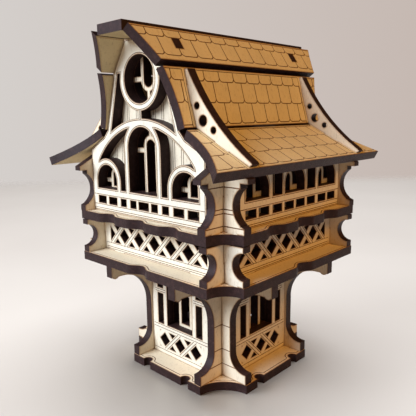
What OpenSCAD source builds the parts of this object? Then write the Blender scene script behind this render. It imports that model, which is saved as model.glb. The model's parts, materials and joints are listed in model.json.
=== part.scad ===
/* Half-timbered tower house for tabletop games, slotted together from laser-cut fibreboard.
   The frame: +Z up, -Y is the front gable, +X the right eaves side, and the origin is the
   middle of the underside of the base plate. All sizes are in millimetres. */

/* [Sheet] */
// Thickness of the board that every piece but the gable windows is cut from
sheet = 3; // [2.8:0.1:3.2]
// Thickness of the board of the two gable windows
gable_sheet = 3.7; // [3:0.1:4]
// Clearance around the frame that locates the lift-off upper module
locator_gap = 0.4; // [0.3:0.1:0.6]

/* [Plates] */
// Half width of the base plate
base_half = 27.6; // [26:0.2:30]
// Half width of the two jetty plates
jetty_half = 37.5; // [36:0.5:39]
// Depth of the scallops cut in the edges of the jetty plates
scallop_depth = 2.1; // [1.5:0.1:2.5]

/* [Storeys] */
// Height of the ground storey walls
ground_h = 35.7; // [34:0.1:37]
// Height of the low band between the two jetty plates
band_h = 11.9; // [11:0.1:13]
// Outer face of the ground storey structural walls
ground_face = 17.2; // [16.8:0.1:17.4]
// Outer face of the walls of the band and of the upper storey
upper_face = 30.3; // [30:0.1:30.5]

/* [Windows] */
// Half width of the middle arch of a gable
mid_arch_half = 6.65; // [6:0.05:7]
// Half width of the small arches
small_arch_half = 5.4; // [5:0.05:5.6]
// Inner radius of the round window
ring_r = 7.1; // [6.5:0.1:7.4]
// Width of the bars of the lattices
lattice_bar = 2.1; // [1.8:0.05:2.3]

/* [Roof] */
// Height of the top face of the ridge board
ridge_top = 114.6; // [114.6:0.1:114.8]
// Half length of the ridge board
ridge_half = 43.8; // [43:0.1:44.5]

/* [Hidden] */
$fn = 48;

// Heights of the levels
ground_z = sheet;
lower_plate_z = ground_z + ground_h;
band_z = lower_plate_z + sheet;
upper_plate_z = band_z + band_h;
upper_z = upper_plate_z + sheet;

// How far a drawn shape runs into the one that it joins
bite = 1;
big = 200;

// Quarter turns of the four faces
FRONT = 0;
RIGHT = 90;
BACK = 180;
LEFT = 270;

// ---- roof lines, as [x, z] on the outer faces of the right-hand panels ----
skirt_top = [20.9, 84.7];
skirt_foot = [39.9, 74.9];
main_top = [15.6, 102];
main_foot = [20.2, 85.2];
top_top = [8.8, 113.2];
top_foot = [15.3, 103.7];
ridge_under = ridge_top - sheet;

function unit(v) = v / norm(v);
function fall(top, foot) = unit(foot - top);
function outward(top, foot) = let (d = fall(top, foot)) [-d[1], d[0]];
function under(p, top, foot) = p - sheet * outward(top, foot);
function steepness(top, foot) = atan2(top[1] - foot[1], foot[0] - top[0]);
function mirrored(points) = [for (i = [len(points) - 1 : -1 : 0]) [-points[i][0], points[i][1]]];
function both_sides(points) = concat(points, mirrored(points));

// Underside of the roof, from the eave to the ridge
skirt_line_slope = (skirt_foot[1] - skirt_top[1]) / (skirt_foot[0] - skirt_top[0]);
function skirt_underside(x) =
    let (p = under(skirt_top, skirt_top, skirt_foot)) p[1] + (x - p[0]) * skirt_line_slope;
roof_underside = [
    under(skirt_top, skirt_top, skirt_foot),
    under(main_foot, main_top, main_foot),
    under(main_top, main_top, main_foot),
    under(top_foot, top_top, top_foot),
    [under(top_top, top_top, top_foot)[0], ridge_under]
];

// ---- placing of sheets ----
// A sheet standing in the front face's plane, drawn as [x, z], its outer face at -y = face
module standing(face, thickness = sheet) {
    translate([0, -face + thickness, 0]) rotate([90, 0, 0]) linear_extrude(thickness) children();
}
module lying(z) {
    translate([0, 0, z]) linear_extrude(sheet) children();
}
module box2(x0, x1, y0, y1) {
    translate([x0, y0]) square([x1 - x0, y1 - y0]);
}
module pair() {
    children();
    mirror([1, 0]) children();
}

// ---- joints ----
tab_len = 6;
fin_tab = [31.4, 35.4];
ground_tabs = [-8, 8];
upper_tabs = [-19.2, 19.2];

// Slots for one pair of tabs in every side's wall, on a plate
module tab_slots(centres, face, length = tab_len) {
    for (turn = [0 : 90 : 270]) rotate(turn) for (x = centres)
        box2(x - length / 2, x + length / 2, -face, -face + sheet);
}
module tabs(centres, z0, z1, length = tab_len) {
    for (x = centres) box2(x - length / 2, x + length / 2, z0, z1);
}
// Slots for the tabs of the fins that stand at the corners of a jetty plate
module fin_slots() {
    for (turn = [0 : 90 : 270]) rotate(turn) pair()
        box2(fin_tab[0], fin_tab[1], -upper_face, -upper_face + sheet);
}
// Right half of the foot of a wall that stands on a plate, with its tabs let into the plate
function tabbed_foot(foot_z, tab_z) = [
    [upper_tabs[1] - tab_len / 2, foot_z],
    [upper_tabs[1] - tab_len / 2, tab_z],
    [upper_tabs[1] + tab_len / 2, tab_z],
    [upper_tabs[1] + tab_len / 2, foot_z],
    [fin_tab[0], foot_z],
    [fin_tab[0], tab_z],
    [fin_tab[1], tab_z],
    [fin_tab[1], foot_z]
];
// Half-height slots where crossing walls lap, at both corners of a wall
module lap_slots(face, z0, z1) {
    pair() box2(face - sheet, face, z0, z1);
}

// ---- plates ----
// A square plate whose corners are cut by an arc that ends in two points at +-tip
module plate_outline(half, tip, sink) {
    centre = half - sink;
    r = norm([centre - tip, sink]);
    difference() {
        square(2 * half, center = true);
        for (turn = [0 : 90 : 270]) rotate(turn) translate([centre, centre]) circle(r);
    }
}
// A shallow hollow in the front edge, one wave of a cosine curve
scallop_half = 5.2;
scallop_steps = 9;
module scallop(x) {
    wave = [for (i = [-scallop_steps : scallop_steps]) let (t = i / scallop_steps)
        [scallop_half * t, scallop_depth * (1 + cos(180 * t)) / 2]];
    translate([x, -jetty_half])
        polygon(concat(wave, [[scallop_half, -bite], [-scallop_half, -bite]]));
}
module on_four_edges() {
    for (turn = [0 : 90 : 270]) rotate(turn) children();
}

base_tip = 17;
foot_notch_x = 9.6;
foot_notch_r = 1.7;
module base_plate() {
    color("burlywood") lying(0) difference() {
        plate_outline(base_half, base_tip, -0.6);
        on_four_edges() pair() translate([foot_notch_x, -base_half + 0.4]) circle(foot_notch_r);
        tab_slots(ground_tabs, ground_face);
    }
}

jetty_sink = 0.9;
module jetty_plate_lower() {
    color("burlywood") lying(lower_plate_z) difference() {
        plate_outline(jetty_half, upper_face, jetty_sink);
        on_four_edges() scallop(0);
        tab_slots(ground_tabs, ground_face);
        tab_slots(upper_tabs, upper_face);
        fin_slots();
    }
}
scallop_pitch = 15.1;
module jetty_plate_upper() {
    color("burlywood") lying(upper_plate_z) difference() {
        plate_outline(jetty_half, upper_face, jetty_sink);
        on_four_edges() for (i = [-1 : 1]) scallop(i * scallop_pitch);
        tab_slots(upper_tabs, upper_face);
        fin_slots();
    }
}
// The frame glued under the upper plate, which drops inside the walls of the band
locator_rim = 6;
module locating_frame() {
    half = upper_face - sheet - locator_gap;
    color("tan") lying(upper_plate_z - sheet) difference() {
        square(2 * half, center = true);
        square(2 * (half - locator_rim), center = true);
    }
}

// ---- ground storey ----
// Profile of one ground corner fin: foot, narrow waist and wide bracket with a drop
waist = 20.85;
foot_reach = 27.3;
foot_lip = 3.4;
foot_curve_r = 5.5;
bracket_reach = 37.4;
bracket_curve_r = 12.4;
bracket_h = 3.9;
drop_r = 1.55;
drop_depth = 2.9;
module ground_fin() {
    foot_c = [waist + foot_curve_r, ground_z + foot_lip + foot_curve_r];
    bracket_under = lower_plate_z - bracket_h;
    bracket_c = [waist + bracket_curve_r, bracket_under - bracket_curve_r];
    difference() {
        box2(0, bracket_reach, ground_z, lower_plate_z);
        translate(foot_c) circle(foot_curve_r);
        box2(waist, bracket_reach + 1, foot_c[1], bracket_c[1]);
        box2(foot_c[0], bracket_reach + 1, ground_z + foot_lip, foot_c[1] + bite);
        box2(foot_reach, bracket_reach + 1, 0, foot_c[1] + bite);
        translate(bracket_c) circle(bracket_curve_r);
        box2(bracket_c[0], bracket_reach + 1, bracket_c[1] - bite, bracket_under);
    }
    translate([bracket_reach - drop_r, lower_plate_z - drop_depth]) circle(drop_r);
}

// Lattices: crossing bars in a low opening leave lozenges with small triangles between them
lozenge_pitch = 7.9;
bar_slope = 45.6;
lozenge_tip = (lozenge_pitch - lattice_bar / sin(bar_slope)) / 2;
module lattice_holes(mid, half_height, half_width, first, last) {
    intersection() {
        difference() {
            box2(-half_width, half_width, mid - half_height, mid + half_height);
            for (i = [first : last], a = [-bar_slope, bar_slope])
                translate([(i + 0.5) * lozenge_pitch, mid]) rotate(a)
                    square([big, lattice_bar], center = true);
        }
        box2(-half_width, half_width, 0, big);
    }
}
lozenge_mid = 8.75;
lozenge_opening = 3.05;
sill_z = 14.6;
centre_light = 6.3;
side_light = [8.3, 11.1];
light_top = 26;
toplight = [28.2, 34.2];
module ground_window_openings() {
    lattice_holes(lozenge_mid, lozenge_opening, lozenge_pitch + lozenge_tip, -2, 1);
    box2(-centre_light, centre_light, sill_z, toplight[1]);
    pair() box2(side_light[0], side_light[1], sill_z, light_top);
    pair() box2(side_light[0], side_light[1], toplight[0], toplight[1]);
}
ground_half = ground_face - sheet;
module ground_window() {
    color("wheat") standing(ground_face + sheet) difference() {
        box2(-ground_half, ground_half, ground_z, lower_plate_z);
        ground_window_openings();
    }
}

// A lancet frame that hangs in an opening: two bars, an arched head, a link and two stubs.
// Its light starts at a sill above the foot; a sill below nought leaves the light open there.
lancet_bar = 1.45;
stub_h = 1.7;
module lancet(x, light, foot, sill, head, link_top, reach, stub_z) {
    spring = head - light;
    outer = light + lancet_bar;
    difference() {
        union() {
            box2(x - outer, x + outer, foot - bite, spring);
            translate([x, spring]) circle(outer);
            box2(x - lancet_bar / 2, x + lancet_bar / 2, spring, link_top);
            box2(x - reach, x + reach, stub_z, stub_z + stub_h);
        }
        box2(x - light, x + light, foot + sill, spring);
        translate([x, spring]) circle(light);
    }
}
module arch(x, half, z0, apex) {
    intersection() {
        union() {
            box2(x - half, x + half, z0, apex - half);
            translate([x, apex - half]) circle(half);
        }
        box2(x - half, x + half, z0, apex);
    }
}
wide_light = 1.95;
small_light = 1.4;
lattice_hole = 11;
lattice_hole_h = 3.4;
ground_head_z = 30.4;
ground_stub_z = 27.4;
open_foot = -bite;
ground_sill = 1.2;
module ground_wall(slot_z0, slot_z1, sill) {
    color("burlywood") standing(ground_face) difference() {
        union() {
            pair() ground_fin();
            tabs(ground_tabs, 0, ground_z + bite);
            tabs(ground_tabs, lower_plate_z - bite, band_z);
        }
        difference() {
            box2(-centre_light, centre_light, sill_z, toplight[1]);
            lancet(0, wide_light, sill_z, sill, ground_head_z, toplight[1] + bite,
                   centre_light + bite, ground_stub_z);
        }
        box2(-lattice_hole, lattice_hole, lozenge_mid - lattice_hole_h,
             lozenge_mid + lattice_hole_h);
        lap_slots(ground_face, slot_z0, slot_z1);
    }
}
ground_lap = (ground_z + lower_plate_z) / 2;

// ---- band between the plates ----
// Each wall is a lattice with a fin at both ends, half-lapped with its neighbours at the corners
band_mid = band_z + 6.2;
band_opening = 3.1;
band_reach = 37.3;
band_curve_r = 3.9;
// The fins stop just short of the plate that rests on the middle of the walls
hairline = 0.35;
band_fin_top = upper_plate_z - hairline;
band_lap = (band_z + upper_plate_z) / 2;
band_edge = concat(tabbed_foot(band_z, lower_plate_z), [
    [band_reach, band_z],
    [band_reach, band_fin_top],
    [upper_face, band_fin_top],
    [upper_face, upper_plate_z]
]);
module band_wall(lap_z0, lap_z1) {
    color("wheat") standing(upper_face) difference() {
        polygon(both_sides(band_edge));
        pair() translate([band_reach, band_lap]) circle(band_curve_r);
        lattice_holes(band_mid, band_opening, 3 * lozenge_pitch, -3, 2);
        lap_slots(upper_face, lap_z0, lap_z1);
    }
}

// ---- upper storey ----
fin_foot = 37.7;
fin_tip = 39;
fin_waist = 33.65;
fin_curve_r = 6.1;
fin_curve_z = upper_z + 7.6;
foot_tip_h = 2.3;
tip_under_z = upper_z + 14;
module upper_fin_cut() {
    translate([fin_waist + fin_curve_r, fin_curve_z]) circle(fin_curve_r);
    box2(fin_waist + fin_curve_r - 3.4, fin_tip + 1, upper_z + foot_tip_h, tip_under_z);
    box2(fin_foot, fin_tip + 1, 0, tip_under_z - 1);
}
foot_of_wall = tabbed_foot(upper_z, upper_plate_z);
fin_edge = [[fin_tip, upper_z], [fin_tip, skirt_underside(fin_tip)]];
upper_lap = upper_z + 10;
wall_top = skirt_underside(upper_face);

// Windows shared by the gable and the side walls
rail_z = [61.95, 64.7];
small_apex = 72.7;
side_arch_x = 18.95;
mid_apex = 85.3;
narrow_light = [7.2, 11.4];
ring_z = 99.5;
small_stub_z = 66.2;
small_sill = 0.5;
mid_stub_z = 77.1;
ring_stub_z = 98.9;

module small_lancet_opening(x, sill, stub_z) {
    difference() {
        arch(x, small_arch_half, rail_z[1], small_apex);
        lancet(x, small_light, rail_z[1], sill, small_apex - 2.5, small_apex + bite,
               small_arch_half + bite, stub_z);
    }
}
// The round window's own frame: two bars joined by a round foot, a link and two stubs
ring_light = 2.1;
module ring_lancet_opening() {
    foot_c = 99.4;
    outer = ring_light + lancet_bar;
    difference() {
        translate([0, ring_z]) circle(ring_r);
        difference() {
            union() {
                translate([0, foot_c]) circle(outer);
                box2(-outer, outer, foot_c, ring_z + ring_r + 1);
                box2(-lancet_bar / 2, lancet_bar / 2, ring_z - ring_r - 1, foot_c);
                box2(-ring_r - 1, ring_r + 1, ring_stub_z, ring_stub_z + stub_h);
            }
            translate([0, foot_c]) circle(ring_light);
            box2(-ring_light, ring_light, foot_c, ring_z + ring_r + 2);
        }
    }
}

// Tabs of the gable wall that pass through the top roof panels
roof_tab = [3.5, 7];
function on_top_slope(s, depth) =
    top_top + s * fall(top_top, top_foot) - depth * outward(top_top, top_foot);
roof_tab_points = [
    on_top_slope(roof_tab[1], sheet),
    on_top_slope(roof_tab[1], 0),
    on_top_slope(roof_tab[0], 0),
    on_top_slope(roof_tab[0], sheet)
];
gable_top = [for (i = [0 : 3]) roof_underside[i]];
gable_edge = concat(foot_of_wall, fin_edge, gable_top, roof_tab_points, [roof_underside[4]]);
module gable_wall() {
    color("wheat") standing(upper_face) difference() {
        polygon(both_sides(gable_edge));
        pair() upper_fin_cut();
        for (s = [-1, 1]) small_lancet_opening(s * side_arch_x, small_sill, small_stub_z);
        difference() {
            arch(0, mid_arch_half, rail_z[1], mid_apex);
            lancet(0, wide_light, rail_z[1], open_foot, mid_apex - 4, mid_apex + bite,
                   mid_arch_half + bite, mid_stub_z);
        }
        ring_lancet_opening();
        lap_slots(upper_face, upper_lap, big);
    }
}
module side_wall() {
    color("burlywood") standing(upper_face) difference() {
        polygon(both_sides(concat(foot_of_wall, fin_edge, [[upper_face, wall_top]])));
        pair() upper_fin_cut();
        for (i = [-1 : 1]) small_lancet_opening(i * side_arch_x, open_foot, rail_z[1]);
        pair() box2(narrow_light[0], narrow_light[1], rail_z[1], small_apex);
        lap_slots(upper_face, upper_z - 1, upper_lap);
    }
}

// Tracery of the gable, in front of the wall
glazing_z = [59.5, rail_z[0]];
gable_panes = [[-2.4, 2.4], [3.75, 6.65], [8.85, 11.7], [13.9, 18.3], [20, 24.35]];
big_arch_c = 57.4;
big_arch_r = [28.2, 30.5];
band_of_arch = 2.2;
strip = 2.2;
roof_gap = 0.15;
upper_half = upper_face - sheet;
function inset(points, by) = [for (p = points) p - [by, by]];
gable_outline = concat(
    [[upper_half, upper_z], [upper_half, skirt_underside(upper_half) - roof_gap]],
    inset(roof_underside, roof_gap));

// Space between the sloping edge strips, above the great arch
function strip_line(z) =
    let (a = roof_underside[1], b = roof_underside[2])
    a[0] + (z - a[1]) * (b[0] - a[0]) / (b[1] - a[1]) - strip;
strip_top = 101.6;
module above_great_arch() {
    difference() {
        polygon(both_sides([[strip_line(70), 70], [strip_line(strip_top), strip_top]]));
        translate([0, big_arch_c]) circle(big_arch_r[1]);
        translate([0, ring_z]) circle(ring_r + strip + 0.1);
        box2(-0.65, 0.65, 80, ring_z);
        box2(-ring_r, ring_r, ring_z, strip_top + 1);
    }
}
// Crescents between the great arch, the middle arch and the small arches
module crescents() {
    difference() {
        intersection() {
            translate([0, big_arch_c]) circle(big_arch_r[0]);
            box2(-25, 25, rail_z[1], 90);
        }
        arch(0, mid_arch_half + band_of_arch, rail_z[1] - 1, mid_apex + band_of_arch);
        for (s = [-1, 1]) arch(s * side_arch_x, small_arch_half + band_of_arch,
                               rail_z[1] - 1, small_apex + band_of_arch);
        pair() box2(side_arch_x, 30, 60, small_apex - 1);
    }
}
module gable_window() {
    color("wheat") standing(upper_face + gable_sheet, gable_sheet) difference() {
        polygon(both_sides(gable_outline));
        arch(0, mid_arch_half, rail_z[1], mid_apex);
        for (s = [-1, 1]) arch(s * side_arch_x, small_arch_half, rail_z[1], small_apex);
        crescents();
        above_great_arch();
        translate([0, ring_z]) circle(ring_r);
        pair() for (p = gable_panes) box2(p[0], p[1], glazing_z[0], glazing_z[1]);
    }
}
// Tracery of the side walls: three arches, with narrow lights between them
side_panes = [[0.65, 5.5], [7, 11.6], [13.55, 18.3], [19.6, 24.35]];
side_head = 73.4;
side_top = skirt_underside(upper_face + sheet) - roof_gap;
module side_window() {
    arch_band = 1.45;
    color("wheat") standing(upper_face + sheet) difference() {
        box2(-upper_half, upper_half, upper_z, side_top);
        for (i = [-1 : 1]) arch(i * side_arch_x, small_arch_half, rail_z[1], small_apex);
        pair() difference() {
            box2(small_arch_half + arch_band, 11.65, rail_z[1], side_head);
            for (i = [0, 1]) arch(i * side_arch_x, small_arch_half + arch_band,
                                  rail_z[1] - 1, small_apex + arch_band);
        }
        pair() for (p = side_panes) box2(p[0], p[1], glazing_z[0], glazing_z[1]);
    }
}

// ---- roof ----
// A roof panel drawn flat: s runs down the slope, the ends flare by a smooth curve
flare_steps = 10;
module flared(length, ends) {
    polygon(concat(
        [for (i = [0 : flare_steps]) let (s = length * i / flare_steps) [s, ends[i]]],
        [for (i = [flare_steps : -1 : 0]) let (s = length * i / flare_steps) [s, -ends[i]]]));
}
module roof_panel(top, foot) {
    translate([top[0], 0, top[1]]) rotate([0, steepness(top, foot), 0])
        translate([0, 0, -sheet]) linear_extrude(sheet) children();
}
module left_hand() {
    mirror([1, 0, 0]) children();
}
// Slots at both ends for tabs in the gable walls' planes
module panel_slots(s0, s1) {
    for (side = [-1, 1]) box2(s0, s1, side * (upper_face - sheet / 2) - sheet / 2,
                              side * (upper_face - sheet / 2) + sheet / 2);
}
skirt_len = norm(skirt_foot - skirt_top);
main_len = norm(main_foot - main_top);
top_len = norm(top_foot - top_top);
skirt_ends = [for (i = [0 : flare_steps]) 34.6 + 8.6 * pow(i / flare_steps, 2)];
main_ends = [for (i = [0 : flare_steps]) 34.8 + 3.2 * pow(1 - i / flare_steps, 2)];
top_ends = [for (i = [0 : flare_steps])
    let (t = 1 - i / flare_steps) 38.3 + 4.5 * t + 1.1 * t * t];
skirt_tab = [7, 13];
main_tab = [5, 11];

module skirt_roof() {
    color("goldenrod") roof_panel(skirt_top, skirt_foot) difference() {
        flared(skirt_len, skirt_ends);
        panel_slots(skirt_tab[0], skirt_tab[1]);
    }
}
module main_roof() {
    color("goldenrod") roof_panel(main_top, main_foot) difference() {
        flared(main_len, main_ends);
        panel_slots(main_tab[0], main_tab[1]);
    }
}
module top_roof() {
    color("goldenrod") roof_panel(top_top, top_foot) difference() {
        flared(top_len, top_ends);
        panel_slots(roof_tab[0], roof_tab[1]);
    }
}
ridge_board_half = 5.75;
module ridge_board() {
    color("tan") lying(ridge_under)
        square([2 * ridge_board_half, 2 * ridge_half], center = true);
}

// The fin on each roof corner: its back follows two slopes, its front is one hollow curve
buttress_r = 70;
buttress_head = [17.1, 101.6];
buttress_tip = [40, 76.4];
function along(top, foot, s) = top + s * fall(top, foot);
function arc_centre(a, b, r) =
    let (m = (a + b) / 2, h = norm(b - a) / 2, d = unit(b - a))
    m + sqrt(r * r - h * h) * [-d[1], d[0]];
buttress_holes = [[20.6, 91.2, 0.95], [22.9, 87.1, 1.5], [26.8, 84.5, 0.95]];
module slope_tab(top, foot, range) {
    translate(top) rotate(-steepness(top, foot)) box2(range[0], range[1], -sheet, bite);
}
module buttress() {
    head_foot = along(main_top, main_foot, 0.5);
    tip_foot = along(skirt_top, skirt_foot, skirt_len - 0.6);
    color("wheat") standing(upper_face) difference() {
        union() {
            difference() {
                polygon([head_foot, main_foot, skirt_top, tip_foot, [40.4, 75.9],
                         buttress_tip, [buttress_tip[0], buttress_head[1]], buttress_head]);
                translate(arc_centre(buttress_head, buttress_tip, buttress_r))
                    circle(buttress_r, $fn = 180);
            }
            slope_tab(main_top, main_foot, main_tab);
            slope_tab(skirt_top, skirt_foot, skirt_tab);
        }
        for (h = buttress_holes) translate([h[0], h[1]]) circle(h[2]);
    }
}

// ---- assembly ----
base_plate();
rotate(FRONT) ground_wall(ground_lap, band_z + 1, ground_sill);  // ground_wall_front
rotate(RIGHT) ground_wall(-1, ground_lap, open_foot);  // ground_wall_right
rotate(BACK) ground_wall(ground_lap, band_z + 1, ground_sill);  // ground_wall_back
rotate(LEFT) ground_wall(-1, ground_lap, open_foot);  // ground_wall_left
rotate(FRONT) ground_window();  // ground_window_front
rotate(RIGHT) ground_window();  // ground_window_right
rotate(BACK) ground_window();  // ground_window_back
rotate(LEFT) ground_window();  // ground_window_left
jetty_plate_lower();
rotate(FRONT) band_wall(band_z - 1, band_lap);  // band_wall_front
rotate(RIGHT) band_wall(band_lap, big);  // band_wall_right
rotate(BACK) band_wall(band_z - 1, band_lap);  // band_wall_back
rotate(LEFT) band_wall(band_lap, big);  // band_wall_left
locating_frame();
jetty_plate_upper();
rotate(FRONT) gable_wall();  // gable_wall_front
rotate(BACK) gable_wall();  // gable_wall_back
rotate(RIGHT) side_wall();  // side_wall_right
rotate(LEFT) side_wall();  // side_wall_left
rotate(FRONT) gable_window();  // gable_window_front
rotate(BACK) gable_window();  // gable_window_back
rotate(RIGHT) side_window();  // side_window_right
rotate(LEFT) side_window();  // side_window_left
skirt_roof();  // skirt_roof_right
left_hand() skirt_roof();  // skirt_roof_left
main_roof();  // main_roof_right
left_hand() main_roof();  // main_roof_left
top_roof();  // top_roof_right
left_hand() top_roof();  // top_roof_left
ridge_board();
rotate(FRONT) buttress();  // buttress_front_right
rotate(FRONT) left_hand() buttress();  // buttress_front_left
rotate(BACK) left_hand() buttress();  // buttress_back_right
rotate(BACK) buttress();  // buttress_back_left
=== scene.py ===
"""Looks of the laser-cut timber-framed tower house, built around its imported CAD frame."""

import json
import math

import bpy
import numpy as np
from mathutils import Matrix, Vector
from mathutils.geometry import delaunay_2d_cdt

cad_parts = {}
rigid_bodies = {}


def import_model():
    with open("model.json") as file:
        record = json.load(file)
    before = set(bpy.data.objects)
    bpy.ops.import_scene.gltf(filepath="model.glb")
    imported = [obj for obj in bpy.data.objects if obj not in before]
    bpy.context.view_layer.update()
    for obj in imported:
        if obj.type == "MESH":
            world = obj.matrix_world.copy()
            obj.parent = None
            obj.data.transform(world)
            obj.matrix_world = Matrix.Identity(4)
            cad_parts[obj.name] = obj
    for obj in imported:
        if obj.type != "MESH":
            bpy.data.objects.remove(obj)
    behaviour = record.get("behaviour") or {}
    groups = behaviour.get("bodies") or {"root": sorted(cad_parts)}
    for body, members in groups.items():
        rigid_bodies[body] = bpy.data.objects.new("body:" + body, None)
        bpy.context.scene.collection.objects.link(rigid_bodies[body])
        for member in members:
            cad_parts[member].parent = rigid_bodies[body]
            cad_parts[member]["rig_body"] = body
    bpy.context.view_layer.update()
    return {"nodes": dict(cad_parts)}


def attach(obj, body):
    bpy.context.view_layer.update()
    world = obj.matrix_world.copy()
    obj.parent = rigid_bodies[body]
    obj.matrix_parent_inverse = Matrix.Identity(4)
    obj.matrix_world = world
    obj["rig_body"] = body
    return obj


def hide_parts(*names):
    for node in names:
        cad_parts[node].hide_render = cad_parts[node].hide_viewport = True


MM = 0.001
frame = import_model()

# ---- camera: the eye stands to the right of the front gable, a little above its middle ----
EYE_MM = (119.35, -128.96, 88.69)
TURN, DOWN, ROLL = math.radians(43.91), math.radians(10.74), math.radians(-0.83)
SENSOR_MM, LENS_MM = 36, 42.53


def make_camera():
    """A camera with the lens and the tilt that show the house as it was seen."""
    data = bpy.data.cameras.new("camera")
    data.sensor_width = SENSOR_MM
    data.lens = LENS_MM
    data.clip_start = 0.01
    data.clip_end = 20
    camera = bpy.data.objects.new("camera", data)
    bpy.context.scene.collection.objects.link(camera)
    along, rise = math.cos(DOWN), math.sin(DOWN)
    back = Vector((math.sin(TURN) * along, -math.cos(TURN) * along, rise))
    right = Vector((0, 0, 1)).cross(back).normalized()
    up = back.cross(right)
    right_rolled = right * math.cos(ROLL) + up * math.sin(ROLL)
    up_rolled = up * math.cos(ROLL) - right * math.sin(ROLL)
    axes = Matrix((right_rolled, up_rolled, back)).transposed().to_4x4()
    camera.matrix_world = Matrix.Translation(Vector(EYE_MM) * MM) @ axes
    bpy.context.scene.camera = camera


make_camera()


# ---- materials ----
def new_material(name):
    """An empty node material and its surface shader."""
    material = bpy.data.materials.new(name)
    material.use_nodes = True
    return material, material.node_tree, material.node_tree.nodes["Principled BSDF"]


def noise(tree, source, scale, detail=3.0, rough=0.55, stretch=(1, 1, 1)):
    """A noise texture on a stretched copy of the given coordinates."""
    mapping = tree.nodes.new("ShaderNodeMapping")
    mapping.inputs["Scale"].default_value = stretch
    tree.links.new(source, mapping.inputs["Vector"])
    texture = tree.nodes.new("ShaderNodeTexNoise")
    texture.inputs["Scale"].default_value = scale
    texture.inputs["Detail"].default_value = detail
    texture.inputs["Roughness"].default_value = rough
    tree.links.new(mapping.outputs["Vector"], texture.inputs["Vector"])
    return texture.outputs["Fac"]


def ramp(tree, factor, stops):
    """Colours along a factor: stops are (position, (r, g, b))."""
    node = tree.nodes.new("ShaderNodeValToRGB")
    elements = node.color_ramp.elements
    while len(elements) < len(stops):
        elements.new(0.5)
    for element, (position, colour) in zip(elements, stops):
        element.position = position
        element.color = (*colour, 1)
    tree.links.new(factor, node.inputs["Fac"])
    return node.outputs["Color"]


def mix(tree, factor, a, b, blend="MIX"):
    """Two colours mixed by a factor, which is a number or a socket."""
    node = tree.nodes.new("ShaderNodeMix")
    node.data_type = "RGBA"
    node.blend_type = blend
    for socket, value in ((node.inputs[0], factor), (node.inputs[6], a), (node.inputs[7], b)):
        if isinstance(value, bpy.types.NodeSocket):
            tree.links.new(value, socket)
        else:
            socket.default_value = value
    return node.outputs[2]


def scaled(colour, factor):
    """A colour made darker or lighter."""
    return tuple(min(1.0, c * factor) for c in colour)


BUMP_HEIGHT = 0.0001


def bump(tree, height, shader, strength):
    """Fine relief on a shader, from a height socket."""
    node = tree.nodes.new("ShaderNodeBump")
    node.inputs["Strength"].default_value = strength
    node.inputs["Distance"].default_value = BUMP_HEIGHT
    tree.links.new(height, node.inputs["Height"])
    tree.links.new(node.outputs["Normal"], shader.inputs["Normal"])


SPECK = (0.62, 0.55, 0.47)
# The brown beside every cut is partly smoke stain from the laser and partly painted shade, the
# darkening where boards meet
SMOKE_AND_SHADE_STAIN = (0.56, 0.36, 0.19, 1)


def board_material(name, colour):
    """Bare fibreboard: pale, with fine fibres and specks, browned beside the cuts by smoke and by
    painted shade where boards meet.
    """
    material, tree, shader = new_material(name)
    place = tree.nodes.new("ShaderNodeTexCoord").outputs["Object"]
    cloud = noise(tree, place, 90, 4)
    fibre = noise(tree, place, 1500, 3, 0.7, (1, 1, 0.35))
    base = ramp(tree, cloud, [(0.3, scaled(colour, 0.93)), (0.7, scaled(colour, 1.04))])
    speck = ramp(tree, fibre, [(0.28, SPECK), (0.46, (1, 1, 1))])
    base = mix(tree, 0.55, base, speck, "MULTIPLY")
    # Painted shade and smoke stain: the board is browned beside its cuts
    stain_and_shade = tree.nodes.new("ShaderNodeAttribute")
    stain_and_shade.attribute_name = "smoke_and_shade"
    smoked_and_shaded = mix(tree, 1.0, base, SMOKE_AND_SHADE_STAIN, "MULTIPLY")
    base = mix(tree, stain_and_shade.outputs["Fac"], base, smoked_and_shaded)
    tree.links.new(base, shader.inputs["Base Color"])
    shader.inputs["Roughness"].default_value = 0.62
    shader.inputs["Specular IOR Level"].default_value = 0.3
    bump(tree, fibre, shader, 0.25)
    return material


ASH_DARK, ASH_PALE = (0.75, 0.75, 0.75), (1.5, 1.45, 1.4)


def char_and_shade_material(name, dark, light, rough):
    """Laser-charred board, also made near black as painted shade on the faces inside the house:
    streaks run through the sheet's thickness, with ash on top.
    """
    material, tree, shader = new_material(name)
    coords = tree.nodes.new("ShaderNodeTexCoord")
    streak = noise(tree, coords.outputs["UV"], 6, 4, 0.6, (30, 2, 1))
    ash = noise(tree, coords.outputs["Object"], 700, 3)
    base = ramp(tree, streak, [(0.3, dark), (0.75, light)])
    ashed = ramp(tree, ash, [(0.5, ASH_DARK), (0.8, ASH_PALE)])
    base = mix(tree, 1.0, base, ashed, "MULTIPLY")
    tree.links.new(base, shader.inputs["Base Color"])
    shader.inputs["Roughness"].default_value = rough
    shader.inputs["Specular IOR Level"].default_value = 0.15
    bump(tree, streak, shader, 0.5)
    return material


WALL = (0.84, 0.71, 0.53)
TRACERY = (0.87, 0.77, 0.61)
FLOOR_BOARD = (0.84, 0.71, 0.52)
# Painted light: the roof's board is the walls' board tinted more amber, as painted warm light on
# the roof
ROOF_PAINTED_WARM = (0.83, 0.69, 0.41)
MATERIALS = {
    "wall_board": board_material("wall_board", WALL),
    "tracery_board": board_material("tracery_board", TRACERY),
    "floor_board": board_material("floor_board", FLOOR_BOARD),
    "roof_board": board_material("roof_board", ROOF_PAINTED_WARM),
}
CHAR = char_and_shade_material("charred_edge", (0.022, 0.010, 0.009), (0.066, 0.033, 0.032), 0.5)
LINE = char_and_shade_material("engraved_line", (0.16, 0.065, 0.028), (0.29, 0.14, 0.065), 0.7)
SCORCH = char_and_shade_material("scorched_rim", (0.17, 0.08, 0.04), (0.33, 0.18, 0.10), 0.65)
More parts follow.
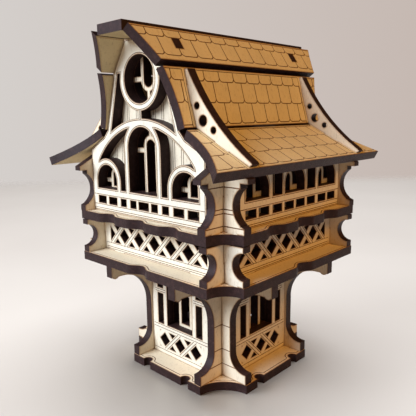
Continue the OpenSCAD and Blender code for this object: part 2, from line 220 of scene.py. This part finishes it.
# Painted shade: the faces that look into the house are made near black, standing in for the unlit
# rooms
SHADE_INSIDE = char_and_shade_material("painted_shade_inside", (0.003, 0.002, 0.002), (0.008, 0.005, 0.004), 0.9)
# The places of a board's materials in its list
BARE_AT, CHAR_AT, SCORCH_AT, LINE_AT, SHADE_INSIDE_AT = range(5)


# ---- sheets: reading a CAD node as a flat board, in millimetres ----
SAME_POINT = 0.004
SAME_DEPTH = 0.02
# Sines of the least bends that are kept in an outline and in a line that follows it
STRAIGHT, NEARLY_STRAIGHT = 1e-4, 0.002
# A normal whose upward part is below the first is a wall's, above the second a floor's
UPRIGHT, LEVEL = 0.01, 0.99
TINY = 1e-12
# Points handled at a time, which keeps the arrays small
CHUNK = 500


def bends(before, after, least):
    """True where one step turns away from the last by more than the sine of a least angle."""
    turn = abs(before[0] * after[1] - before[1] * after[0])
    return turn > least * np.hypot(*before) * np.hypot(*after)


def dedupe(points):
    """Points of a loop without repeats and without needless points on straight runs."""
    pts = [p for i, p in enumerate(points) if np.hypot(*(p - points[i - 1])) > SAME_POINT]
    around = zip(pts[-1:] + pts[:-1], pts, pts[1:] + pts[:1])
    return np.array([p for last, p, after in around if bends(p - last, after - p, STRAIGHT)])


def open_edges(tris):
    """Edges of triangles that no other triangle shares, each in its triangle's direction."""
    directed = {}
    for t in tris:
        for i in range(3):
            directed[(t[i], t[(i + 1) % 3])] = True
    return [(a, b) for (a, b) in directed if (b, a) not in directed]


class Sheet:
    """One board: its outward normal, in-plane axes, thickness and outline loops in millimetres."""

    def __init__(self, node):
        mesh = frame["nodes"][node].data
        corners = np.array([v.co[:] for v in mesh.vertices]) / MM
        mesh.calc_loop_triangles()
        tris = np.array([t.vertices[:] for t in mesh.loop_triangles])
        a, b, c = corners[tris[:, 0]], corners[tris[:, 1]], corners[tris[:, 2]]
        cross = np.cross(b - a, c - a)
        area = np.linalg.norm(cross, axis=1)
        unit = cross / np.maximum(area, TINY)[:, None]
        self.normal = self.find_normal(unit, area, (corners.min(0) + corners.max(0)) / 2)
        up = np.array([0, 1, 0]) if abs(self.normal[2]) > LEVEL else np.array([0, 0, 1])
        self.v = up - np.dot(up, self.normal) * self.normal
        self.v = self.v / np.linalg.norm(self.v)
        self.u = np.cross(self.v, self.normal)
        depth = corners @ self.normal
        self.face = depth.max()
        self.thick = depth.max() - depth.min()
        flat = np.c_[corners @ self.u, corners @ self.v]
        top = (depth[tris] > self.face - SAME_DEPTH).all(1) & (unit @ self.normal > 0.9)
        self.loops = self.find_loops(flat, tris[top])

    @staticmethod
    def find_normal(unit, area, middle):
        """The direction of most of the surface, pointing up, or out of the house on a wall."""
        _, which = np.unique(np.round(unit, 3), axis=0, return_inverse=True)
        sums = np.bincount(which.ravel(), weights=area)
        widest = unit[which.ravel() == int(np.argmax(sums))][0]
        if abs(widest[2]) < UPRIGHT:
            outward = np.dot(widest[:2], middle[:2]) > 0
        else:
            outward = widest[2] > 0
        return widest if outward else -widest

    @staticmethod
    def find_loops(flat, tris):
        """Boundary loops of the outer face, with the board on the left of each."""
        weld, number = {}, np.zeros(len(flat), int)
        for i in np.unique(tris):
            number[i] = weld.setdefault(tuple(np.round(flat[i], 3)), i)
        onward = dict(open_edges(number[tris]))
        loops = []
        while onward:
            start, here = next(iter(onward.items()))
            loop = [start]
            del onward[start]
            while here != start:
                loop.append(here)
                here = onward.pop(here)
            loops.append(dedupe(flat[loop]))
        return loops

    def place(self, uv, depth):
        """Points on the board, from in-plane positions and depths below its face, in metres."""
        uv, depth = np.atleast_2d(uv), np.asarray(depth)
        out = uv[:, :1] * self.u + uv[:, 1:] * self.v + (self.face - depth)[:, None] * self.normal
        return out * MM


def segments(loops, closed=True):
    """All segments of several polylines as start and end arrays."""
    starts, ends = [], []
    for p in loops:
        p = np.asarray(p)
        starts.append(p if closed else p[:-1])
        ends.append(np.roll(p, -1, axis=0) if closed else p[1:])
    return np.vstack(starts), np.vstack(ends)


def distance(points, a, b, width=None):
    """Distance from each point to the nearest segment, or its least share of their half widths."""
    out = np.empty(len(points))
    ab = b - a
    square = np.maximum((ab**2).sum(1), TINY)
    for k in range(0, len(points), CHUNK):
        p = points[k : k + CHUNK, None, :]
        t = np.clip(((p - a) * ab).sum(2) / square, 0, 1)
        d = np.sqrt((((a + t[..., None] * ab) - p) ** 2).sum(2))
        out[k : k + CHUNK] = (d if width is None else d / width).min(1)
    return out


# At sharp corners a mitre is cut short: the least share of it that the offset divides by
LOOP_MITRE, GROOVE_MITRE = 0.35, 0.5
# How much nearer to an edge than meant a followed line may come
SLACK = 0.05


def offset_loop(loop, by):
    """A loop moved into the board by a distance, with mitred corners."""
    before, after = loop - np.roll(loop, 1, axis=0), np.roll(loop, -1, axis=0) - loop
    na = np.c_[-before[:, 1], before[:, 0]] / np.hypot(*before.T)[:, None]
    nb = np.c_[-after[:, 1], after[:, 0]] / np.hypot(*after.T)[:, None]
    bisector = na + nb
    length = np.maximum((bisector**2).sum(1) / 2, LOOP_MITRE)
    return loop + by * bisector / length[:, None]


def subdivided(loop, step):
    """A loop with points added, so that none of its steps is longer than the given one."""
    out = []
    for p, q in zip(loop, np.roll(loop, -1, axis=0)):
        n = max(1, int(np.ceil(np.hypot(*(q - p)) / step)))
        out += [p + (q - p) * i / n for i in range(n)]
    return np.array(out)


def straightened(points):
    """A polyline without the points that lie on straight runs."""
    kept = [points[0]]
    for here, onward in zip(points[1:-1], points[2:]):
        if bends(here - kept[-1], onward - here, NEARLY_STRAIGHT):
            kept.append(here)
    return np.array(kept + [points[-1]])


def contour(sheet, loops, by, step=0.6):
    """Lines that follow loops at a distance inside the board, but not where it is narrow."""
    a, b = segments(sheet.loops)
    lines = []
    for loop in loops:
        moved = offset_loop(subdivided(loop, step), by)
        clear = distance(moved, a, b) > by - SLACK
        if clear.all():
            lines.append(straightened(np.vstack([moved, moved[:1]])))
            continue
        first = int(np.argmin(clear))
        moved, clear = np.roll(moved, -first, axis=0), np.roll(clear, -first)
        run = []
        for p, ok in zip(moved, clear):
            if ok:
                run.append(p)
                continue
            if len(run) > 2:
                lines.append(straightened(np.array(run)))
            run = []
        if len(run) > 2:
            lines.append(straightened(np.array(run)))
    return lines


# ---- engraving: each groove is a shallow V cut along a polyline ----
# Half widths of the grooves and their depth
GROOVE = 0.16
FINE = 0.11
GROOVE_DEPTH = 0.16
# The bevel beside each cut, how far the smoke stain and painted shade reach from it, and their
# share on the back
RIM = 0.13
RIM_DEPTH = 0.07
SMOKE_AND_SHADE_REACH = 0.55
BACK_SMOKE_AND_SHADE = 0.6
# A triangle belongs to a rim or a groove if its middle lies within this share of the width
RIM_SHARE, GROOVE_SHARE = 0.9, 0.97


def groove_borders(polyline, half):
    """The two sides of a groove, joined across its ends."""
    step = polyline[1:] - polyline[:-1]
    n = np.c_[-step[:, 1], step[:, 0]] / np.hypot(*step.T)[:, None]
    closed = len(polyline) > 3 and np.hypot(*(polyline[0] - polyline[-1])) < 1e-6
    before = np.vstack([n[-1:] if closed else n[:1], n])
    after = np.vstack([n, n[:1] if closed else n[-1:]])
    bisector = before + after
    bisector = bisector / np.maximum((bisector**2).sum(1) / 2, GROOVE_MITRE)[:, None]
    left, right = polyline + half * bisector, polyline - half * bisector
    if closed:
        return [left, right]
    return [np.vstack([left, right[::-1], left[:1]])]


def winding(points, loops):
    """True for the points inside an odd number of loops."""
    a, b = segments(loops)
    inside = np.zeros(len(points), bool)
    for k in range(0, len(points), CHUNK):
        p = points[k : k + CHUNK, None, :]
        above = (a[:, 1] > p[..., 1]) != (b[:, 1] > p[..., 1])
        rise = np.where(np.abs(b[:, 1] - a[:, 1]) < TINY, TINY, b[:, 1] - a[:, 1])
        cross = a[:, 0] + (p[..., 1] - a[:, 1]) * (b[:, 0] - a[:, 0]) / rise
        inside[k : k + CHUNK] = (above & (p[..., 0] < cross)).sum(1) % 2 == 1
    return inside


def box_line(half_u, v0, v1):
    """The outline of a rectangle."""
    return np.array([[-half_u, v0], [half_u, v0], [half_u, v1], [-half_u, v1], [-half_u, v0]])


def in_box(points, area):
    """True for the points inside a rectangle (half width, lowest, highest)."""
    if not area:
        return np.zeros(len(points), bool)
    half_u, v0, v1 = area
    return (np.abs(points[:, 0]) < half_u) & (points[:, 1] > v0) & (points[:, 1] < v1)


def triangulate(sheet, grooves, areas):
    """The board's flat face cut into triangles along its outline, grooves, the edge of the smoke
    stain and painted shade beside the cuts, and areas.
    """
    verts, edges = [], []

    def add(points, closed=False):
        first = len(verts)
        verts.extend(Vector(p) for p in points)
        edges.extend((first + i, first + i + 1) for i in range(len(points) - 1))
        if closed:
            edges.append((first + len(points) - 1, first))

    for loop in sheet.loops:
        add(loop, closed=True)
        add(offset_loop(loop, RIM), closed=True)
    for polyline, half in grooves:
        add(polyline)
        for side in groove_borders(polyline, half):
            add(side)
    for area in areas:
        if area:
            add(box_line(*area))
    for polyline in contour(sheet, sheet.loops, SMOKE_AND_SHADE_REACH, 2.0):
        add(polyline)

    found, _, tris, *_ = delaunay_2d_cdt(verts, edges, [], 0, 1e-4)
    uv = np.array([v[:] for v in found])
    tris = np.array([t for t in tris if len(t) == 3])
    tris = tris[winding(uv[tris].mean(1), sheet.loops)]
    side_a, side_b = uv[tris[:, 1]] - uv[tris[:, 0]], uv[tris[:, 2]] - uv[tris[:, 0]]
    tris = tris[np.abs(side_a[:, 0] * side_b[:, 1] - side_a[:, 1] * side_b[:, 0]) > 1e-9]
    used, tris = np.unique(tris, return_inverse=True)
    return uv[used], tris.reshape(-1, 3)


def engrave(sheet, grooves, uv, centres):
    """Depth and the amount of smoke stain and painted shade at each point, and the material of each
    triangle, on the outer face.
    """
    edge_a, edge_b = segments(sheet.loops)
    to_edge = distance(uv, edge_a, edge_b)
    depth = RIM_DEPTH * np.clip(1 - to_edge / RIM, 0, 1)
    material = np.where(distance(centres, edge_a, edge_b) < RIM_SHARE * RIM, SCORCH_AT, BARE_AT)
    if grooves:
        parts = [segments([polyline], False) for polyline, _ in grooves]
        a, b = np.vstack([p[0] for p in parts]), np.vstack([p[1] for p in parts])
        half = np.concatenate([np.full(len(p[0]), g[1]) for p, g in zip(parts, grooves)])
        share = distance(uv, a, b, half)
        depth = np.maximum(depth, GROOVE_DEPTH * np.clip(1 - share, 0, 1))
        material[distance(centres, a, b, half) < GROOVE_SHARE] = LINE_AT
    return depth, np.clip(1 - to_edge / SMOKE_AND_SHADE_REACH, 0, 1), material


def build_board(node, slot, grooves, shade_front=None, shade_back=None):
    """The finished board of a CAD node: grooves in its face, a scorched rim and charred edges.

    grooves gives a list of (polyline, half width) for a sheet. The last two arguments are
    rectangles (half width, lowest, highest) of the two faces that look into the house; these are
    painted near black as the shade inside it.
    """
    sheet = Sheet(node)
    grooves = grooves(sheet)
    uv, tris = triangulate(sheet, grooves, (shade_front, shade_back))
    centres = uv[tris].mean(1)
    depth, smoke_and_shade, front = engrave(sheet, grooves, uv, centres)
    # Painted shade: the parts of both faces that look into the house take the near-black inside
    # material
    front[in_box(centres, shade_front)] = SHADE_INSIDE_AT
    behind = np.where(in_box(centres, shade_back), SHADE_INSIDE_AT, BARE_AT)

    count = len(uv)
    points = np.vstack([sheet.place(uv, depth), sheet.place(uv, np.full(count, sheet.thick))])
    rim = open_edges(tris)
    faces = [tuple(t) for t in tris]
    faces += [tuple(t[::-1] + count) for t in tris]
    faces += [(q, p, p + count, q + count) for p, q in rim]
    material = np.concatenate([front, behind, np.full(len(rim), CHAR_AT)])

    mesh = bpy.data.meshes.new(node)
    mesh.from_pydata([tuple(p) for p in points], [], faces)
    for m in (MATERIALS[slot], CHAR, SCORCH, LINE, SHADE_INSIDE):
        mesh.materials.append(m)
    mesh.polygons.foreach_set("material_index", material.astype(np.int32))
    # Painted shade and smoke stain beside the cuts, weaker on the back face
    attribute = mesh.attributes.new("smoke_and_shade", "FLOAT", "POINT")
    stain_and_shade = np.concatenate([smoke_and_shade, smoke_and_shade * BACK_SMOKE_AND_SHADE])
    attribute.data.foreach_set("value", stain_and_shade.astype(np.float32))
    lay_uv(mesh, uv, rim, sheet.thick)
    mesh.validate()
    mesh.shade_smooth()
    mesh.set_sharp_from_angle(angle=math.radians(25))
    board = bpy.data.objects.new(node + ".board", mesh)
    bpy.context.scene.collection.objects.link(board)
    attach(board, frame["nodes"][node]["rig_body"])
    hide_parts(node)
    return board


TEXTURE_MM = 10


def lay_uv(mesh, uv, rim, thick):
    """Texture positions: the plane of the board on its faces, length by depth on its edges."""
    layer = mesh.uv_layers.new(name="board")
    count = len(uv)
    rim_start = len(mesh.polygons) - len(rim)
    ends = np.cumsum([np.hypot(*(uv[p] - uv[q])) for p, q in rim])
    values = np.zeros((len(mesh.loops), 2), np.float32)
    for polygon in mesh.polygons:
        for corner, vertex in zip(polygon.loop_indices, polygon.vertices):
            if polygon.index < rim_start:
                values[corner] = uv[vertex % count] / TEXTURE_MM
                continue
            along = ends[polygon.index - rim_start]
            p, q = rim[polygon.index - rim_start]
            if vertex % count == p:
                along -= np.hypot(*(uv[p] - uv[q]))
            depth = thick if vertex >= count else 0
            values[corner] = (along / TEXTURE_MM, depth / TEXTURE_MM)
    layer.data.foreach_set("uv", values.ravel())


# ---- what is engraved on each kind of board: u runs across it and v up it ----
def line(*points):
    """A polyline through the given points."""
    return np.array(points, float)


def arc(cu, cv, r, start, end, step):
    """An arc as a polyline, with angles in degrees."""
    n = max(2, int(abs(end - start) / step))
    angles = np.radians(np.linspace(start, end, n + 1))
    return np.c_[cu + r * np.cos(angles), cv + r * np.sin(angles)]


def both(lines):
    """Lines on the right half of a board with their mirror images on the left."""
    return lines + [polyline * (-1, 1) for polyline in lines]


def level(v, u0, u1):
    """A level line at a height."""
    return line((u0, v), (u1, v))


def with_width(lines, half):
    """Grooves of one width along several lines."""
    return [(polyline, half) for polyline in lines]


def plain(sheet):
    """No grooves at all."""
    return []


def border(inset):
    """One line that follows the outer outline."""

    def grooves(sheet):
        outer = max(sheet.loops, key=lambda loop: np.ptp(loop[:, 0]))
        return with_width(contour(sheet, [outer], inset), GROOVE)

    return grooves


# Brick courses on the corner fins: heights, and the reach of each from inside to past the edge
GROUND_COURSES, GROUND_FIN = (21.0, 12.6, 7.4), (16.3, 37)
UPPER_COURSES, UPPER_FIN = (69.3, 63.1, 61.9, 58.3), (30.3, 39)


def ground_wall_lines(sheet):
    return with_width(both([level(v, *GROUND_FIN) for v in GROUND_COURSES]), GROOVE)


def side_wall_lines(sheet):
    return with_width(both([level(v, *UPPER_FIN) for v in UPPER_COURSES]), GROOVE)


# The lozenge lattices: the bars' distance and slope, and the two lines on each bar
LOZENGE_PITCH = 7.9
BAR_SLOPE = math.radians(45.6)
BAR_LINE = 0.5
BAR_RISE = 3.7


def bar_lines(middle, pairs, lean):
    """Two fine lines on each lattice bar that leans one way, where it passes over the others."""
    out = []
    run = lean * BAR_RISE / math.tan(BAR_SLOPE)
    for i in range(-pairs, pairs):
        for side in (-BAR_LINE, BAR_LINE):
            u = (i + 0.5) * LOZENGE_PITCH + side / math.sin(BAR_SLOPE)
            out.append((line((u - run, middle - BAR_RISE), (u + run, middle + BAR_RISE)), FINE))
    return out


# Heights of the lines along rails, half their reach, and the middle of each lattice
GROUND_RAILS, GROUND_RAIL_HALF, GROUND_LATTICE = (14.0, 12.9, 4.6), 13.6, 8.75
BAND_RAILS, BAND_RAIL_HALF, BAND_LATTICE = (44.3, 42.9, 42.25), 26.4, 47.9
SILL_RAILS, SILL_RAIL_HALF = (62.45, 59.0, 57.7), 26.9
# Short lines at each side of the ground window's middle light: two on the cross bar, one above
LIGHT_BARS, LIGHT_REACH = (26.7, 27.5, 34.9), (7.0, 12.4)


def ground_window_lines(lean):
    def grooves(sheet):
        rails = [level(v, -GROUND_RAIL_HALF, GROUND_RAIL_HALF) for v in GROUND_RAILS]
        out = bar_lines(GROUND_LATTICE, 1, lean) + with_width(rails, FINE)
        for v in LIGHT_BARS:
            out += with_width(both([level(v, *LIGHT_REACH)]), FINE)
        return out

    return grooves


def band_lines(lean):
    def grooves(sheet):
        rails = [level(v, -BAND_RAIL_HALF, BAND_RAIL_HALF) for v in BAND_RAILS]
        return bar_lines(BAND_LATTICE, 3, lean) + with_width(rails, FINE)

    return grooves


# The panes in the rail of the upper windows are lower than this; their edges have no line
PANE_TOP = 62.5
TRACERY_INSET = 0.5


def tracery_lines(sheet):
    """Lines beside every cut but the panes' own, and along the rails."""
    loops = [loop for loop in sheet.loops if loop[:, 1].max() > PANE_TOP]
    rails = [level(v, -SILL_RAIL_HALF, SILL_RAIL_HALF) for v in SILL_RAILS]
    return with_width(contour(sheet, loops, TRACERY_INSET) + rails, FINE)


# The gable's planks: joints are pairs of lines a little out of step, up the wall from the rail
PLANK, FIRST_PLANK, PLANK_GAP = 4.0, 1.9, 0.85
PLANK_OUT_OF_STEP = (0.1, -0.2, 0.3, 0.0, -0.3, 0.2, 0.1)
PLANK_FOOT, PLANK_HEAD, PLANKS_END = 64.9, 104.5, 27
# A small cross is engraved between the planks, to the right of the great window
CROSS_AT = (19, 76)
CROSS_ARM, CROSS_FOOT, CROSS_HEAD = 0.8, 1, 1.2


def gable_wall_lines(sheet):
    out = side_wall_lines(sheet)
    for k, shift in enumerate(PLANK_OUT_OF_STEP):
        for gap in (0, PLANK_GAP):
            u = FIRST_PLANK + PLANK * k + shift + gap
            if u < PLANKS_END:
                out += with_width(both([line((u, PLANK_FOOT), (u, PLANK_HEAD))]), FINE)
    u, v = CROSS_AT
    cross = [level(v, u - CROSS_ARM, u + CROSS_ARM), line((u, v - CROSS_FOOT), (u, v + CROSS_HEAD))]
    return out + with_width(cross, GROOVE)


# Shingles: width, corner radius, height of a row, and the line along the top of each slope
TILE = 6.5
TILE_ROUND = 1.25
ROW = 6.4
TOP_LINE = 0.65
# The corners' largest share of a row, the step of their arcs in degrees, and a hair's breadth
ROUND_SHARE, ROUND_STEP, HAIR = 0.6, 15, 0.05
# A place past the end of every roof panel, and the banks of shingles beside the buttresses
PAST_END = 45
BANKS = [(-26.3, 26.3), (31.3, PAST_END), (-PAST_END, -31.3)]
ONE_BANK = [(-PAST_END, PAST_END)]


def shingle_lines(first_bottom, rows, odd_first, banks):
    """Rows of round-cornered shingles down a slope. banks are the ranges across the slope."""

    def grooves(sheet):
        top = max(loop[:, 1].max() for loop in sheet.loops)
        foot = min(loop[:, 1].min() for loop in sheet.loops)
        out = []
        for lo, hi in banks:
            out += with_width([line((lo, top - TOP_LINE), (hi, top - TOP_LINE))], FINE)
            ends = [u for u in (lo, hi) if abs(u) < PAST_END]
            out += with_width([line((u, top - TOP_LINE), (u, foot)) for u in ends], FINE)
            above = top - TOP_LINE
            for row in range(rows):
                bottom = top - first_bottom - row * ROW
                shift = 0.5 if (row % 2 == 0) == odd_first else 0.0
                out += with_width(shingle_row(above, bottom, shift, lo, hi), GROOVE)
                above = bottom
        return out

    return grooves


def shingle_row(above, bottom, shift, lo, hi):
    """Joints and rounded lower edges of one row, cut off at the ends of its bank."""
    out = []
    r = min(TILE_ROUND, (above - bottom) * ROUND_SHARE)
    # Joints run past both ends of the bank, so that the cut tiles at its ends are drawn too
    first = math.floor(lo / TILE - shift) - 1
    joints = [(first + i + shift) * TILE for i in range(int((hi - lo) / TILE) + 4)]
    for u0, u1 in zip(joints, joints[1:]):
        if lo < u0 < hi:
            out.append(line((u0, above), (u0, bottom + r)))
        left = arc(u0 + r, bottom + r, r, 180, 270, ROUND_STEP)
        right = arc(u1 - r, bottom + r, r, 270, 360, ROUND_STEP)
        tile = np.vstack([left, right])
        tile = tile[(tile[:, 0] > lo) & (tile[:, 0] < hi)]
        if len(tile) < 2:
            continue
        if u0 < lo < tile[0, 0] and tile[0, 1] < bottom + HAIR:
            tile = np.vstack([[lo, bottom], tile])
        if u1 > hi > tile[-1, 0] and tile[-1, 1] < bottom + HAIR:
            tile = np.vstack([tile, [hi, bottom]])
        out.append(tile)
    return out


# ---- every board: its material, its grooves, and the parts of its two faces painted dark as shade inside ----
def heights(node):
    """Lowest and highest point of a CAD node, in millimetres."""
    levels = [v.co[2] / MM for v in frame["nodes"][node].data.vertices]
    return round(min(levels), 2), round(max(levels), 2)


# Half widths of the rooms, and the part of a wall in each that is painted dark as the shade inside:
# (half width, lowest, highest)
GROUND_HALF = 14.2
UPPER_HALF = 27.3
FRAME_HALF = 26.5
PAST_TOP = 113
GROUND_TOP, BAND_FOOT = heights("jetty_plate_lower")
BAND_TOP, UPPER_FOOT = heights("jetty_plate_upper")
GROUND_ROOM = (GROUND_HALF, heights("base_plate")[1], GROUND_TOP)
BAND_ROOM = (UPPER_HALF, BAND_FOOT, BAND_TOP)
UPPER_ROOM = (UPPER_HALF, UPPER_FOOT, PAST_TOP)


def square(half):
    """The part of a plate above or below a room that is painted dark as the shade inside."""
    return half, -half, half


GROUND_PLAN, UPPER_PLAN, FRAME_PLAN = square(GROUND_HALF), square(UPPER_HALF), square(FRAME_HALF)
BUILD = {
    "base_plate": ("floor_board", border(1.0), GROUND_PLAN, None),
    "jetty_plate_lower": ("floor_board", border(0.9), UPPER_PLAN, GROUND_PLAN),
    "jetty_plate_upper": ("floor_board", border(0.9), UPPER_PLAN, UPPER_PLAN),
    "locating_frame": ("floor_board", plain, None, FRAME_PLAN),
    "ridge_board": ("roof_board", border(1.2), None, None),
}
for side, lean in (("front", 1), ("back", 1), ("right", -1), ("left", -1)):
    BUILD["ground_wall_" + side] = ("wall_board", ground_wall_lines, None, GROUND_ROOM)
    window = ground_window_lines(lean)
    BUILD["ground_window_" + side] = ("tracery_board", window, None, GROUND_ROOM)
    BUILD["band_wall_" + side] = ("tracery_board", band_lines(lean), None, BAND_ROOM)
for side in ("front", "back"):
    BUILD["gable_wall_" + side] = ("wall_board", gable_wall_lines, None, UPPER_ROOM)
    BUILD["gable_window_" + side] = ("tracery_board", tracery_lines, None, None)
    for end in ("right", "left"):
        BUILD[f"buttress_{side}_{end}"] = ("wall_board", plain, None, None)
SKIRT_SHINGLES = shingle_lines(1.1, 4, False, BANKS)
MAIN_SHINGLES = shingle_lines(3.8, 3, True, BANKS)
TOP_SHINGLES = shingle_lines(3.4, 2, False, ONE_BANK)
for side in ("right", "left"):
    BUILD["side_wall_" + side] = ("wall_board", side_wall_lines, None, UPPER_ROOM)
    BUILD["side_window_" + side] = ("tracery_board", tracery_lines, None, None)
    BUILD["skirt_roof_" + side] = ("roof_board", SKIRT_SHINGLES, None, None)
    BUILD["main_roof_" + side] = ("roof_board", MAIN_SHINGLES, None, None)
    BUILD["top_roof_" + side] = ("roof_board", TOP_SHINGLES, None, None)

house = bpy.data.collections.new("house")
for node, (slot, grooves, shade_front, shade_back) in BUILD.items():
    house.objects.link(build_board(node, slot, grooves, shade_front, shade_back))


# ---- table, backdrop and lights ----
# Half the table's size and where its far part fades out, in metres
TABLE_HALF = 0.7
TABLE_FADE = (0.44, 0.54)
TABLE_DARK, TABLE_PALE = (0.80, 0.785, 0.77), (0.84, 0.83, 0.815)


def make_table():
    """A pale glossy table top whose far edge, across the view, fades softly into the backdrop."""
    mesh = bpy.data.meshes.new("table")
    half = TABLE_HALF
    corners = [(-half, -half, 0), (half, -half, 0), (half, half, 0), (-half, half, 0)]
    mesh.from_pydata(corners, [], [(0, 1, 2, 3)])
    table = bpy.data.objects.new("table", mesh)
    table.rotation_euler = (0, 0, TURN)
    bpy.context.scene.collection.objects.link(table)
    material, tree, shader = new_material("table_top")
    place = tree.nodes.new("ShaderNodeTexCoord").outputs["Object"]
    cloud = noise(tree, place, 9, 2)
    base = ramp(tree, cloud, [(0.3, TABLE_DARK), (0.7, TABLE_PALE)])
    tree.links.new(base, shader.inputs["Base Color"])
    shader.inputs["Roughness"].default_value = 0.22
    away = tree.nodes.new("ShaderNodeSeparateXYZ")
    tree.links.new(place, away.inputs["Vector"])
    fade = tree.nodes.new("ShaderNodeMapRange")
    fade.interpolation_type = "SMOOTHSTEP"
    tree.links.new(away.outputs["Y"], fade.inputs["Value"])
    fade.inputs["From Min"].default_value = TABLE_FADE[0]
    fade.inputs["From Max"].default_value = TABLE_FADE[1]
    fade.inputs["To Min"].default_value = 1
    fade.inputs["To Max"].default_value = 0
    tree.links.new(fade.outputs["Result"], shader.inputs["Alpha"])
    mesh.materials.append(material)
    table.visible_diffuse = False
    group = bpy.data.collections.new("table")
    group.objects.link(table)
    return group


AIM_MM = Vector((0, 0, 55))


def make_light(name, place_mm, size_mm, power, colour, lit_only):
    """A soft rectangular light aimed at the house's middle, which lights one collection."""
    data = bpy.data.lights.new(name, "AREA")
    data.shape = "RECTANGLE"
    data.size, data.size_y = size_mm[0] * MM, size_mm[1] * MM
    data.energy = power
    data.color = colour
    light = bpy.data.objects.new(name, data)
    bpy.context.scene.collection.objects.link(light)
    light.location = Vector(place_mm) * MM
    toward = (AIM_MM - Vector(place_mm)).normalized()
    light.rotation_mode = "QUATERNION"
    light.rotation_quaternion = toward.to_track_quat("-Z", "Y")
    light.light_linking.receiver_collection = lit_only


# The wall behind is pale on the camera's left and browner on its right
WALL_LEFT = (0.66, 0.625, 0.60, 1)
WALL_RIGHT = (0.56, 0.48, 0.44, 1)
WALL_SPREAD = 0.40
# What the room sends from all round: pale from below, dim and amber from above
FROM_BELOW = (0.38, 0.33, 0.30, 1)
FROM_ABOVE = (0.055, 0.035, 0.022, 1)
BELOW, ABOVE = -0.2, 0.1


def make_world():
    """The wall that the camera sees, and the soft light of the room, which it does not see."""
    world = bpy.data.worlds.new("world")
    bpy.context.scene.world = world
    world.use_nodes = True
    tree = world.node_tree
    direction = tree.nodes.new("ShaderNodeTexCoord").outputs["Generated"]
    across = tree.nodes.new("ShaderNodeVectorMath")
    across.operation = "DOT_PRODUCT"
    tree.links.new(direction, across.inputs[0])
    across.inputs[1].default_value = (math.cos(TURN), math.sin(TURN), 0)
    spread = tree.nodes.new("ShaderNodeMapRange")
    tree.links.new(across.outputs["Value"], spread.inputs["Value"])
    spread.inputs["From Min"].default_value = -WALL_SPREAD
    spread.inputs["From Max"].default_value = WALL_SPREAD
    wall = mix(tree, spread.outputs["Result"], WALL_LEFT, WALL_RIGHT)
    parts = tree.nodes.new("ShaderNodeSeparateXYZ")
    tree.links.new(direction, parts.inputs["Vector"])
    height = tree.nodes.new("ShaderNodeMapRange")
    tree.links.new(parts.outputs["Z"], height.inputs["Value"])
    height.inputs["From Min"].default_value = BELOW
    height.inputs["From Max"].default_value = ABOVE
    room = mix(tree, height.outputs["Result"], FROM_BELOW, FROM_ABOVE)
    path = tree.nodes.new("ShaderNodeLightPath")
    seen = mix(tree, path.outputs["Is Camera Ray"], room, wall)
    tree.links.new(seen, tree.nodes["Background"].inputs["Color"])


table = make_table()
make_world()
make_light("key", (-300, -700, 450), (620, 480), 13.6, (0.77, 0.87, 1.0), house)
make_light("warm", (400, 30, 380), (240, 200), 1.1, (1.0, 0.48, 0.09), house)
make_light("table_side", (-460, -660, 500), (500, 400), 3.6, (1.0, 0.99, 0.98), table)
make_light("table_top", (-100, 300, 1200), (1400, 1400), 23, (1.0, 0.965, 0.945), table)
bpy.context.scene.view_settings.view_transform = "Standard"
